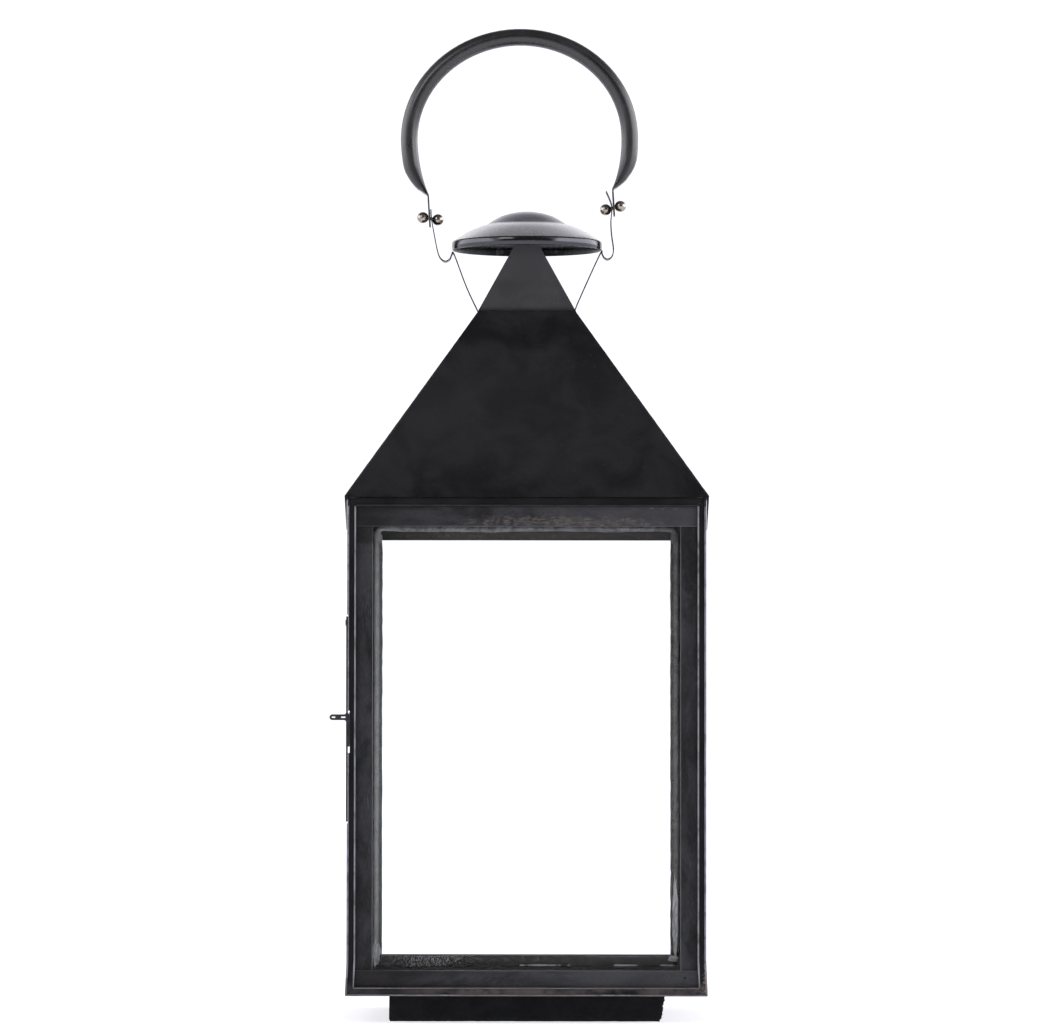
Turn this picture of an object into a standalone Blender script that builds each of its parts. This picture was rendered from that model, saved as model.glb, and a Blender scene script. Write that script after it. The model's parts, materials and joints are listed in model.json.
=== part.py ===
"""Candle lantern in blackened sheet iron, as an assembly of its separate pieces.

Metres, +Z up. The origin is the centre of the base pad's underside. The front is -Y and the door is
the -X face, hinged at its back edge. Run with: blender --background --python part.py
"""

import math

import bmesh
import bpy
from mathutils import Vector

MM = 0.001
GAP = 0.3 * MM  # air left between two pieces that touch

# Driving dimensions
BODY_HALF = 99.3 * MM  # half the width of the square body, over its corner ridges
BODY_TOP = 290.4 * MM
PAD_HALF = 76.5 * MM
PAD_THICK = 14.7 * MM
EAVE_HALF = 100.8 * MM
ROOF_TOP = 398.6 * MM
ROOF_TOP_HALF = 27.5 * MM
CHIMNEY_TOP = 438.1 * MM
CHIMNEY_TOP_HALF = 6.7 * MM
CAP_RADIUS = 42.9 * MM
CAP_LOW = 435.0 * MM
HOOP_TUBE = 4.85 * MM  # radius of the handle's tube
HOOP_RADII = (63.0 * MM, 58.2 * MM)  # centre line: across, and up from its centre
HOOP_DROPS = {-1: 79.0 * MM, 1: 71.5 * MM}  # down from its centre; the ends differ, bent by hand
SHEET = 0.8 * MM

# Body frame: twelve folded L members, mitred at the corners
BODY_LOW = PAD_THICK + GAP
MEMBER_WIDTH = 5.1 * MM
MEMBER_DEPTH = 2.0 * MM
RIDGE = 0.65 * MM  # radius of the rolled ridges along a member
VALLEY = 0.75 * MM  # depth between the ridges
TOP_LIP_DEPTH = 0.35 * MM
MITRE_GAP = 0.21 * MM
FLARE = 0.8 * MM  # how far the foot of the body spreads
FLARE_HEIGHT = 20.0 * MM

# Windows, given from the outer ridges inwards
STRIP_WIDTH = 9.1 * MM
STRIP_SHEET = 1.0 * MM
STRIP_DEPTH = MEMBER_DEPTH + GAP
STRIP_LAP = 1.2 * MM
STILE_DEPTH = STRIP_DEPTH + STRIP_SHEET + GAP
STILE_LAP = 2.0 * MM
OPENING_HALF = BODY_HALF - MEMBER_WIDTH - STRIP_WIDTH
OPENING_SPAN = (29.1 * MM, 274.3 * MM)
BACK_OPENING_SPAN = (30.3 * MM, 272.4 * MM)  # the back pane's rails reach further in
GLASS = 2.0 * MM
GLASS_LAP = 5.4 * MM
GLASS_DEPTH = STILE_DEPTH + STRIP_SHEET + GAP
BEAD_WIDTH = 3.0 * MM
BEAD_HEIGHT = 1.6 * MM
BEAD_INSET = 1.5 * MM
BEAD_CORNER = 5.0 * MM
BEAD_DEPTH = GLASS_DEPTH + GLASS + GAP
DOOR_CLEARANCE = 0.5 * MM
FACE_ANGLES = {"front": 0, "right": 90, "back": 180, "left": -90}

# Door hinges
HINGE_X = -BODY_HALF - 1.6 * MM
HINGE_Y = BODY_HALF - MEMBER_WIDTH - DOOR_CLEARANCE / 2
KNUCKLE_RADIUS = 1.5 * MM
PIN_RADIUS = 0.75 * MM
BORE_RADIUS = 0.85 * MM
HINGE_HEIGHTS = {"upper": 240.0 * MM, "lower": 65.0 * MM}
KNUCKLE = 9.0 * MM

# Latch
LATCH_LOW = 111.1 * MM
LATCH_TOP = 224.4 * MM
LATCH_TAB = 168.7 * MM
LATCH_WIDTH = 10.4 * MM
LATCH_REACH = 108.9 * MM  # how far out of the lantern's axis the pull tab's end is
LATCH_OUT = 99.75 * MM
LATCH_FRONT = -98.4 * MM
LATCH_PIVOT = 221.0 * MM  # height of its rivet
LATCH_SPACER_HALF = (2.4 * MM, 3.2 * MM)  # along Y and Z
NOTCH_LOW = 149.0 * MM
NOTCH_TOP = 172.3 * MM
NOTCH_DEPTH = 1.6 * MM
NOSE_PLAY = (3.5 * MM, 0.7 * MM)  # free height in the notch below and above the latch nose
RIVET_SHANK = 1.0 * MM
RIVET_HOLE = 1.35 * MM

# Handle and its two pivots; the pivot line leans because the left strap sits lower
PIVOT_CENTRE = Vector((-3.0 * MM, 0, 456.3 * MM))
PIVOT_HALF = 52.1 * MM
PIVOT_LEAN = math.radians(3.41)
HOOP_CENTRE = (1.2 * MM, 42.7 * MM)  # in the handle's own plane, from the pivot centre
LUG = 1.0 * MM
LUG_HALF = 5.0 * MM
LUG_OFFSET = 0.6 * MM
STRAP = 0.6 * MM
STRAP_HALF = 5.0 * MM
BALL_RADIUS = 3.3 * MM
BALL_SPACING = 8.7 * MM
BALL_SHANK = 1.0 * MM
PIVOT_HOLE = 1.6 * MM
TAPER = 22.0 * MM  # how far from a lug the tube is squashed


# ---------------------------------------------------------------- materials


def material(name, colour, roughness, metallic=0.0, alpha=1.0):
    made = bpy.data.materials.new(name)
    made.use_nodes = True
    shader = made.node_tree.nodes["Principled BSDF"]
    shader.inputs["Base Color"].default_value = (*colour, 1.0)
    shader.inputs["Roughness"].default_value = roughness
    shader.inputs["Metallic"].default_value = metallic
    shader.inputs["Alpha"].default_value = alpha
    made.diffuse_color = (*colour, alpha)
    return made


def make_materials():
    return {
        "iron": material("blackened_iron", (0.030, 0.030, 0.034), 0.42, 0.6),
        "roof": material("roof_iron", (0.016, 0.016, 0.018), 0.50, 0.5),
        "cap": material("cap_iron", (0.110, 0.110, 0.115), 0.30, 0.8),
        "steel": material("spring_steel", (0.045, 0.045, 0.050), 0.38, 0.7),
        "nickel": material("dark_nickel", (0.350, 0.320, 0.290), 0.22, 1.0),
        "glass": material("clear_glass", (0.950, 0.970, 0.970), 0.02, 0.0, 0.2),
        "putty": material("glazing_putty", (0.200, 0.205, 0.210), 0.35),
        "foam": material("black_foam", (0.010, 0.010, 0.011), 0.95),
    }


# ---------------------------------------------------------------- mesh helpers


def add_object(name, mesh, look, parent=None):
    obj = bpy.data.objects.new(name, mesh)
    bpy.context.scene.collection.objects.link(obj)
    if look:
        mesh.materials.append(look)
    if parent:
        obj.parent = parent
    return obj


def finish_mesh(name, bm, smooth_angle=35):
    """The bmesh as a mesh with its faces pointing out, smooth except at its folds."""
    bmesh.ops.recalc_face_normals(bm, faces=bm.faces)
    mesh = bpy.data.meshes.new(name)
    bm.to_mesh(mesh)
    bm.free()
    mesh.shade_smooth()
    mesh.set_sharp_from_angle(angle=math.radians(smooth_angle))
    return mesh


def box_mesh(name, low, high):
    bm = bmesh.new()
    bmesh.ops.create_cube(bm, size=1.0)
    for vert in bm.verts:
        for axis in range(3):
            vert.co[axis] = high[axis] if vert.co[axis] > 0 else low[axis]
    return finish_mesh(name, bm)


def prism_mesh(name, outline, low, high):
    """An (x, z) outline, extruded along Y from low to high."""
    bm = bmesh.new()
    ends = [[bm.verts.new((x, y, z)) for x, z in outline] for y in (low, high)]
    bridge_rings(bm, ends)
    bm.faces.new(ends[0])
    bm.faces.new(ends[1])
    return finish_mesh(name, bm)


def bridge_rings(bm, rings, closed=False):
    """Quads between rings of equal length. A closed set joins its last ring to its first."""
    pairs = list(zip(rings, rings[1:]))
    if closed:
        pairs.append((rings[-1], rings[0]))
    for first, second in pairs:
        for k in range(len(first)):
            nxt = (k + 1) % len(first)
            bm.faces.new((first[k], first[nxt], second[nxt], second[k]))


def turned_mesh(name, profile, steps, smooth_angle=35):
    """A closed solid turned about Z from an (r, z) profile that starts and ends on the axis."""
    bm = bmesh.new()
    first = bm.verts.new((0, 0, profile[0][1]))
    last = bm.verts.new((0, 0, profile[-1][1]))
    rings = []
    for radius, z in profile[1:-1]:
        angles = [2 * math.pi * k / steps for k in range(steps)]
        rings.append([bm.verts.new((radius * math.cos(a), radius * math.sin(a), z)) for a in angles])
    bridge_rings(bm, rings)
    for k in range(steps):
        nxt = (k + 1) % steps
        bm.faces.new((first, rings[0][k], rings[0][nxt]))
        bm.faces.new((last, rings[-1][nxt], rings[-1][k]))
    return finish_mesh(name, bm, smooth_angle)


def arc(centre, radius, start, end, steps):
    """Points along an arc in a plane, with both its ends; angles in degrees."""
    angles = [math.radians(start + (end - start) * k / steps) for k in range(steps + 1)]
    return [(centre[0] + radius * math.cos(a), centre[1] + radius * math.sin(a)) for a in angles]


def bevel(obj, width, segments=1):
    made = obj.modifiers.new("edges", "BEVEL")
    made.width = width
    made.segments = segments
    made.limit_method = "ANGLE"


def cutter(name, mesh, parent=None):
    obj = add_object(name, mesh, None, parent)
    obj.hide_render = True
    obj.display_type = "WIRE"
    return obj


def boolean(obj, other, operation):
    made = obj.modifiers.new(other.name, "BOOLEAN")
    made.operation = operation
    made.object = other


def rod_mesh(name, radius, length, steps=16):
    """A plain round rod about Z, centred on the origin."""
    half = length / 2
    return turned_mesh(name, [(0, half), (radius, half), (radius, -half), (0, -half)], steps)


def axis_empty(name, location, parent=None, lean=0.0):
    """An empty on a joint's axis, which the moving pieces hang from."""
    empty = bpy.data.objects.new(name, None)
    bpy.context.scene.collection.objects.link(empty)
    empty.empty_display_size = 0.01
    empty.rotation_euler.y = -lean
    if parent:
        empty.parent = parent
        empty.location = Vector(location) - parent.location
    else:
        empty.location = location
    return empty


def hang_from(obj, *empties):
    """Hangs an object, modelled in place, from the last of a chain of empties."""
    obj.parent = empties[-1]
    obj.location = obj.location - sum((empty.location for empty in empties), Vector())


# ---------------------------------------------------------------- base and body frame


def make_base(looks):
    foot = (-PAD_HALF, -PAD_HALF, 0)
    pad = add_object("base_pad", box_mesh("base_pad", foot, (PAD_HALF, PAD_HALF, PAD_THICK)), looks["foam"])
    bevel(pad, 0.6 * MM)
    half = BODY_HALF - MEMBER_DEPTH - GAP
    low = BODY_LOW + MEMBER_DEPTH + GAP
    floor = box_mesh("floor_plate", (-half, -half, low), (half, half, low + STRIP_SHEET))
    bevel(add_object("floor_plate", floor, looks["iron"]), 0.2 * MM)


def member_outline(lip=False):
    """The L section of a frame member as (a, b) distances inwards from its two outer faces.

    It starts at the outer corner and is symmetric about the diagonal. With a lip, the corner ridge
    is flat. Returns the outline and the index of its inner corner.
    """
    if lip:
        half = [(TOP_LIP_DEPTH, TOP_LIP_DEPTH)]
    else:
        half = arc((RIDGE, RIDGE), RIDGE, 225, 360, 6)
        half.append((2 * RIDGE + 0.1 * MM, VALLEY))
    inner_ridge = MEMBER_WIDTH - RIDGE
    half.append((inner_ridge - RIDGE - 0.1 * MM, TOP_LIP_DEPTH if lip else VALLEY))
    half += arc((inner_ridge, RIDGE), RIDGE, 180, 360, 8)
    half.append((MEMBER_WIDTH, MEMBER_DEPTH))
    half.append((MEMBER_DEPTH, MEMBER_DEPTH))
    mirrored = [(b, a) for a, b in reversed(half[1:-1])]
    return half + mirrored, len(half) - 1


def flared(point):
    """The foot of the body spreads a little."""
    spread = FLARE * max(0.0, 1 - (point.z - BODY_LOW) / FLARE_HEIGHT)
    for axis in (0, 1):
        if abs(point[axis]) > OPENING_HALF:
            point[axis] += math.copysign(spread, point[axis])
    return point


def member_mesh(name, axis, signs, lip=False, rings_at=()):
    """One edge of the body's box: it runs along axis, on the side that signs gives of the others."""
    outline, inner = member_outline(lip)
    centre = Vector((0, 0, (BODY_LOW + BODY_TOP) / 2))
    half = (BODY_HALF, BODY_HALF, (BODY_TOP - BODY_LOW) / 2)
    across = [other for other in range(3) if other != axis]
    bm = bmesh.new()

    def ring(place):
        made = []
        for a, b in outline:
            point = centre.copy()
            point[across[0]] += signs[0] * (half[across[0]] - a)
            point[across[1]] += signs[1] * (half[across[1]] - b)
            point[axis] = place(a, b)
            made.append(bm.verts.new(flared(point)))
        return made

    def end(side):
        return lambda a, b: centre[axis] + side * (half[axis] - max(a, b) - MITRE_GAP)

    places = [end(-1)] + [lambda a, b, at=at: at for at in rings_at] + [end(1)]
    rings = [ring(place) for place in places]
    bridge_rings(bm, rings)
    for last in (rings[0], rings[-1]):
        bm.faces.new(last[: inner + 1])
        bm.faces.new(last[inner:] + last[:1])
    return finish_mesh(name, bm)


def make_frame(looks):
    """Four corner posts, and a rail along the top and bottom of each face."""
    for side_y, depth_name in ((-1, "front"), (1, "back")):
        for side_x, side_name in ((-1, "left"), (1, "right")):
            name = f"post_{depth_name}_{side_name}"
            mesh = member_mesh(name, 2, (side_x, side_y), rings_at=[BODY_LOW + FLARE_HEIGHT])
            add_object(name, mesh, looks["iron"])
    for side_z, level in ((-1, "bottom"), (1, "top")):
        for face, axis, side in (("front", 0, -1), ("back", 0, 1), ("left", 1, -1), ("right", 1, 1)):
            name = f"{level}_rail_{face}"
            add_object(name, member_mesh(name, axis, (side, side_z), lip=level == "top"), looks["iron"])
    cut_latch_seat(bpy.data.objects["post_front_left"])


def cut_latch_seat(post):
    """The latch strip lies in a shallow seat along the post, and its nose drops into a deeper notch."""
    seat_depth = BODY_HALF - LATCH_OUT + SHEET + GAP
    past = 1.0 * MM
    for name, depth, low, top in (
        ("cut_latch_seat", seat_depth, LATCH_LOW - past, LATCH_TOP + past),
        ("cut_latch_notch", NOTCH_DEPTH, NOTCH_LOW, NOTCH_TOP),
    ):
        corner = (-BODY_HALF - past, -BODY_HALF - past, low)
        far = (-BODY_HALF + depth, -BODY_HALF + MEMBER_WIDTH + past, top)
        boolean(post, cutter(name, box_mesh(name, corner, far)), "DIFFERENCE")


# ---------------------------------------------------------------- windows and door


def face_box(name, face, across, up, depth, thick, look, edge=0.12 * MM):
    """A flat piece of a face: its span across and up, its depth behind the ridges, its thickness."""
    outer = -BODY_HALF + depth
    mesh = box_mesh(name, (across[0], outer, up[0]), (across[1], outer + thick, up[1]))
    obj = add_object(name, mesh, look)
    obj.rotation_euler.z = math.radians(FACE_ANGLES[face])
    bevel(obj, edge)
    return obj


def opening_span(face):
    return BACK_OPENING_SPAN if face == "back" else OPENING_SPAN


def bead_mesh(name, span):
    """A half-round bead of putty round the inside of a pane, with round corners."""
    out = BEAD_INSET + BEAD_WIDTH / 2
    half = OPENING_HALF + out
    low = span[0] - out
    top = span[1] + out
    corners = [(half, top, 0), (-half, top, 90), (-half, low, 180), (half, low, 270)]
    section = arc((0, 0), 1.0, 0, 180, 5)
    bm = bmesh.new()
    rings = []
    for x, z, start in corners:
        centre_x = x - math.copysign(BEAD_CORNER, x)
        centre_z = z - BEAD_CORNER if z == top else z + BEAD_CORNER
        for k in range(5):
            angle = math.radians(start + 22.5 * k)
            outward = Vector((math.cos(angle), 0, math.sin(angle)))
            middle = Vector((centre_x, -BODY_HALF + BEAD_DEPTH, centre_z)) + outward * BEAD_CORNER
            ring = []
            for across, height in section:
                rise = Vector((0, height * BEAD_HEIGHT, 0))
                ring.append(bm.verts.new(middle + outward * (across * BEAD_WIDTH / 2) + rise))
            rings.append(ring)
    bridge_rings(bm, rings, closed=True)
    return finish_mesh(name, bm, 50)


def make_window(prefix, face, looks, half, low, top, lap):
    """Two rails, two stiles, a pane and its bead. Returns the pieces."""
    inner = OPENING_HALF
    opening = opening_span(face)
    stile_span = (opening[0] - STILE_LAP, opening[1] + STILE_LAP)
    iron = looks["iron"]
    stile_half = min(half, BODY_HALF - STILE_DEPTH - STRIP_SHEET)
    pieces = [
        face_box(f"{prefix}_strip_bottom", face, (-half, half), (low - lap, opening[0]), STRIP_DEPTH,
                 STRIP_SHEET, iron),
        face_box(f"{prefix}_strip_top", face, (-half, half), (opening[1], top + lap), STRIP_DEPTH,
                 STRIP_SHEET, iron),
        face_box(f"{prefix}_strip_left", face, (-stile_half, -inner), stile_span, STILE_DEPTH,
                 STRIP_SHEET, iron),
        face_box(f"{prefix}_strip_right", face, (inner, stile_half), stile_span, STILE_DEPTH,
                 STRIP_SHEET, iron),
    ]
    glass_half = inner + GLASS_LAP
    glass_span = (opening[0] - GLASS_LAP, opening[1] + GLASS_LAP)
    pieces.append(face_box(f"{prefix}_glass", face, (-glass_half, glass_half), glass_span, GLASS_DEPTH,
                           GLASS, looks["glass"], 0.2 * MM))
    bead = add_object(f"{prefix}_glazing_bead", bead_mesh(f"{prefix}_glazing_bead", opening), looks["putty"])
    bead.rotation_euler.z = math.radians(FACE_ANGLES[face])
    pieces.append(bead)
    return pieces


def make_windows(looks):
    low = BODY_LOW + MEMBER_WIDTH
    top = BODY_TOP - MEMBER_WIDTH
    half = BODY_HALF - MEMBER_WIDTH + 1.0 * MM
    for face in ("front", "right", "back"):
        make_window(face, face, looks, half, low, top, STRIP_LAP)


def make_door(looks, hinge):
    low = BODY_LOW + MEMBER_WIDTH + DOOR_CLEARANCE
    top = BODY_TOP - MEMBER_WIDTH - DOOR_CLEARANCE
    half = BODY_HALF - MEMBER_WIDTH - DOOR_CLEARANCE
    pieces = make_window("door", "left", looks, half, low, top, 0.0)
    for piece in pieces:
        hang_from(piece, hinge)
    return pieces


# ---------------------------------------------------------------- hinges


def leaf_object(name, plate, knuckles, look):
    """A hinge leaf: a plate with its knuckles joined on, bored for the pin. All in place."""
    leaf = add_object(name, plate, look)
    for number, (low, top) in enumerate(knuckles):
        rod = cutter(f"join_{name}_{number}", rod_mesh(name, KNUCKLE_RADIUS, top - low))
        rod.location = (HINGE_X, HINGE_Y, (low + top) / 2)
        boolean(leaf, rod, "UNION")
    bore = cutter(f"cut_{name}_bore", rod_mesh(name, BORE_RADIUS, 4 * KNUCKLE))
    bore.location = (HINGE_X, HINGE_Y, (knuckles[0][0] + knuckles[-1][1]) / 2)
    boolean(leaf, bore, "DIFFERENCE")
    return leaf


def frame_leaf_mesh(name, low, top):
    """The plate on the post; the door's knuckle is let into its edge afterwards."""
    inner = -BODY_HALF - GAP
    near = HINGE_Y + 0.4 * MM
    far = BODY_HALF - 0.4 * MM
    return box_mesh(name, (inner - SHEET, near, low), (inner, far, top))


def door_leaf_mesh(name, low, top):
    """The plate on the door's stile, with a web out to the knuckle; both as one bent outline."""
    stile = -BODY_HALF + STRIP_DEPTH + STRIP_SHEET
    outer = stile - SHEET
    web = HINGE_Y - DOOR_CLEARANCE - 0.9 * MM
    far = OPENING_HALF + 1.0 * MM
    plan = [
        (stile, far),
        (stile, web + SHEET),
        (HINGE_X, web + SHEET + 0.3 * MM),
        (HINGE_X - 0.6 * MM, web + 0.3 * MM),
        (outer, web),
        (outer, far),
    ]
    bm = bmesh.new()
    ends = [[bm.verts.new((x, y, z)) for x, y in plan] for z in (low, top)]
    bridge_rings(bm, ends)
    bm.faces.new(ends[0])
    bm.faces.new(ends[1])
    return finish_mesh(name, bm)


def make_hinges(looks, hinge):
    """Two butt hinges on the outside of the back-left post: frame leaf, door leaf and pin each."""
    for level, middle in HINGE_HEIGHTS.items():
        near = middle - KNUCKLE / 2
        far = middle + KNUCKLE / 2
        outer_knuckles = [(near - GAP - KNUCKLE, near - GAP), (far + GAP, far + GAP + KNUCKLE)]
        name = f"hinge_{level}_frame_leaf"
        plate = frame_leaf_mesh(name, outer_knuckles[0][0], outer_knuckles[1][1])
        frame_leaf = leaf_object(name, plate, outer_knuckles, looks["steel"])
        reach = KNUCKLE_RADIUS + GAP
        window_low = (HINGE_X - reach, HINGE_Y - reach, near - GAP)
        window_high = (-BODY_HALF, HINGE_Y + reach, far + GAP)
        window = cutter(f"cut_{name}_window", box_mesh("window", window_low, window_high))
        boolean(frame_leaf, window, "DIFFERENCE")
        name = f"hinge_{level}_door_leaf"
        leaf = leaf_object(name, door_leaf_mesh(name, near, far), [(near, far)], looks["steel"])
        hang_from(leaf, hinge)
        reach = 1.5 * KNUCKLE + GAP
        head = reach + 2 * GAP
        profile = [
            (0, head + SHEET),
            (KNUCKLE_RADIUS * 0.7, head + SHEET),
            (KNUCKLE_RADIUS, head + SHEET / 2),
            (KNUCKLE_RADIUS, head),
            (PIN_RADIUS, head),
            (PIN_RADIUS, -reach - SHEET),
            (0, -reach - SHEET),
        ]
        pin = add_object(f"hinge_{level}_pin", turned_mesh("hinge_pin", profile, 16), looks["steel"])
        pin.location = (HINGE_X, HINGE_Y, middle)


# ---------------------------------------------------------------- latch


def latch_outline():
    """The folded latch strip, edge on: a strip, a hairpin pull tab and a nose behind it (x, z)."""
    inner = -LATCH_OUT + SHEET
    nose = -BODY_HALF + NOTCH_DEPTH - 0.15 * MM
    tab_half = 1.6 * MM
    fillet = 1.0 * MM
    nose_round = 1.6 * MM
    nose_low = NOTCH_LOW + NOSE_PLAY[0]
    nose_top = NOTCH_TOP - NOSE_PLAY[1]
    tip = -LATCH_REACH + tab_half
    outline = [(inner, LATCH_TOP), (-LATCH_OUT, LATCH_TOP)]
    outline += arc((-LATCH_OUT - fillet, LATCH_TAB + tab_half + fillet), fillet, 0, -90, 3)
    outline += arc((tip, LATCH_TAB), tab_half, 90, 270, 8)
    outline += arc((-LATCH_OUT - fillet, LATCH_TAB - tab_half - fillet), fillet, 90, 0, 3)
    outline += [(-LATCH_OUT, LATCH_LOW), (inner, LATCH_LOW), (inner, nose_low)]
    outline += [(nose, nose_low), (nose, nose_top)]
    outline += arc((nose - nose_round, nose_top), nose_round, 0, -50, 3)[1:]
    outline += [(inner, LATCH_TAB + tab_half + fillet)]
    return outline


def make_latch(looks, hinge, flex):
    """A spring strip with a pull tab, riveted over a spacer on the door's front stile."""
    back = LATCH_FRONT + LATCH_WIDTH
    strip = add_object(
        "latch_spring", prism_mesh("latch_spring", latch_outline(), LATCH_FRONT, back), looks["steel"]
    )
    slot_half = 0.38 * MM
    tab_slots = ((-LATCH_REACH + 1.0 * MM, 2.2 * MM), (-LATCH_OUT - 3.0 * MM, 2.7 * MM))
    for number, (start, length) in enumerate(tab_slots):
        low = (start, LATCH_FRONT - 1.0 * MM, LATCH_TAB - slot_half)
        high = (start + length, back + 1.0 * MM, LATCH_TAB + slot_half)
        slot = cutter(f"cut_tab_slot_{number}", box_mesh("tab_slot", low, high))
        bevel(slot, 0.25 * MM, 3)
        boolean(strip, slot, "DIFFERENCE")
    rivet_y = back - 3.0 * MM
    stile = -BODY_HALF + STILE_DEPTH
    spacer_out = -LATCH_OUT + SHEET + GAP
    across, up = LATCH_SPACER_HALF
    near = (spacer_out, rivet_y - across, LATCH_PIVOT - up)
    far = (stile - GAP, rivet_y + across, LATCH_PIVOT + up)
    spacer = add_object("latch_spacer", box_mesh("latch_spacer", near, far), looks["steel"])
    bevel(spacer, 0.2 * MM)
    hole = cutter("cut_latch_rivet_hole", rod_mesh("rivet_hole", RIVET_HOLE, 30.0 * MM))
    hole.location = (-BODY_HALF, rivet_y, LATCH_PIVOT)
    hole.rotation_euler.y = math.radians(90)
    for obj in (strip, spacer, bpy.data.objects["door_strip_right"]):
        boolean(obj, hole, "DIFFERENCE")
    rivet = add_object("latch_rivet", rivet_mesh(stile), looks["steel"])
    rivet.location = (0, rivet_y, LATCH_PIVOT)
    rivet.rotation_euler.y = math.radians(-90)
    hang_from(spacer, hinge)
    hang_from(rivet, hinge)
    hang_from(strip, hinge, flex)


def rivet_mesh(stile):
    """A low-headed rivet about Z: its head outside the strip, its tail inside the stile."""
    under_head = LATCH_OUT + GAP
    tail = -stile - STRIP_SHEET - GAP
    head_radius = 2.2 * MM
    head_height = 0.4 * MM
    profile = [(0, under_head + head_height)]
    profile += [(head_radius * math.sin(a), under_head + head_height * math.cos(a))
                for a in (math.pi / 8, math.pi / 4, 3 * math.pi / 8, math.pi / 2)]
    # The tail's burr is flat and thin enough to stay in front of the pane.
    profile += [(RIVET_SHANK, under_head), (RIVET_SHANK, tail + GAP), (0, tail + GAP)]
    return turned_mesh("latch_rivet", profile, 16)


# ---------------------------------------------------------------- roof


def sheet_run(low, low_half, top, top_half):
    """How far a sheet on a slope reaches inwards, measured level."""
    return SHEET / math.sin(math.atan2(top - low, low_half - top_half))


def roof_panel_mesh(name):
    """The front slope, mitred along both hips."""
    run = sheet_run(BODY_TOP, EAVE_HALF, ROOF_TOP, ROOF_TOP_HALF)
    bm = bmesh.new()
    rings = []
    for z, half in ((BODY_TOP, EAVE_HALF), (ROOF_TOP, ROOF_TOP_HALF)):
        ring = []
        for inset, side in ((0, -1), (0, 1), (run, 1), (run, -1)):
            reach = half - inset
            ring.append(bm.verts.new((side * (reach - MITRE_GAP), -reach, z)))
        rings.append(ring)
    bridge_rings(bm, rings)
    bm.faces.new(rings[0])
    bm.faces.new(rings[1])
    return finish_mesh(name, bm)


def join_ears(panel):
    """A side slope ends in a tapered ear over each corner post, clear of the door."""
    inner = -BODY_HALF - GAP
    drop = 18.0 * MM
    outline = [
        (inner, BODY_TOP),
        (inner, BODY_TOP - drop),
        (inner - 0.12 * MM, BODY_TOP - drop),
        (-EAVE_HALF + 0.03 * MM, BODY_TOP),
        (-EAVE_HALF + 0.50 * MM, BODY_TOP + 0.6 * MM),
        (inner - 0.10 * MM, BODY_TOP + 0.6 * MM),
    ]
    width = MEMBER_WIDTH - 0.6 * MM
    for number, low in enumerate((-BODY_HALF, BODY_HALF - width)):
        ear = cutter(f"join_{panel.name}_ear_{number}", prism_mesh("ear", outline, low, low + width))
        # The outline is drawn on the left slope, and the right slope is the left one turned round.
        if panel.name == "roof_right":
            ear.rotation_euler.z = math.pi
        boolean(panel, ear, "UNION")


def make_roof(looks):
    for face, angle in FACE_ANGLES.items():
        name = f"roof_{face}"
        panel = add_object(name, roof_panel_mesh(name), looks["roof"])
        panel.rotation_euler.z = math.radians(angle)
        if face in ("left", "right"):
            join_ears(panel)


def make_chimney(looks):
    """A hollow four-sided taper, open at both ends, that stands on the roof."""
    low = ROOF_TOP + GAP
    run = sheet_run(low, ROOF_TOP_HALF, CHIMNEY_TOP, CHIMNEY_TOP_HALF)
    bm = bmesh.new()
    loops = []
    for z, half in (
        (low, ROOF_TOP_HALF),
        (CHIMNEY_TOP, CHIMNEY_TOP_HALF),
        (CHIMNEY_TOP, CHIMNEY_TOP_HALF - run),
        (low, ROOF_TOP_HALF - run),
    ):
        corners = ((-half, -half), (half, -half), (half, half), (-half, half))
        loops.append([bm.verts.new((x, y, z)) for x, y in corners])
    bridge_rings(bm, loops, closed=True)
    add_object("chimney", finish_mesh("chimney", bm), looks["iron"])


def cap_profile():
    """The spun cap as (r, z), outside from the crown to the rim, then inside back to the axis."""
    rim_top = 4.6 * MM
    crown = 21.8 * MM
    fall = [
        (22.0 * MM, 0.9),
        (19.0 * MM, 2.9),
        (15.0 * MM, 5.1),
        (10.0 * MM, 6.7),
        (5.0 * MM, 7.6),
    ]
    shoulder = 14.3 * MM  # height of the shoulder's inner edge over the rim's foot
    outside = [(0, crown)]
    outside += [(radius, shoulder + rise * MM) for radius, rise in reversed(fall)]
    outside += [(23.4 * MM, shoulder)]
    steps = 6
    start = 23.4 * MM
    reach = CAP_RADIUS - 0.8 * MM - start
    for k in range(1, steps + 1):
        share = k / steps
        outside.append((start + reach * share, shoulder - (shoulder - rim_top - 0.6 * MM) * share**1.45))
    outside += [(CAP_RADIUS - 0.2 * MM, rim_top), (CAP_RADIUS, rim_top - 0.5 * MM), (CAP_RADIUS, 0.4 * MM)]
    outside += [(CAP_RADIUS - 0.3 * MM, 0), (CAP_RADIUS - 0.9 * MM, 0)]
    wall = 1.0 * MM
    inside = [(CAP_RADIUS - 1.1 * MM, 0.4 * MM), (CAP_RADIUS - 1.1 * MM, rim_top - 1.0 * MM)]
    inside += [(35.0 * MM, 8.3 * MM - wall), (23.0 * MM, shoulder - wall), (20.0 * MM, shoulder + 0.9 * MM)]
    inside += [(12.0 * MM, crown - 1.6 * MM - wall), (0, crown - wall)]
    return [(radius, CAP_LOW + z) for radius, z in outside + inside]


def make_cap(looks):
    add_object("cap", turned_mesh("cap", cap_profile(), 64, 25), looks["cap"])


# ---------------------------------------------------------------- straps, pivots and handle


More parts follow.
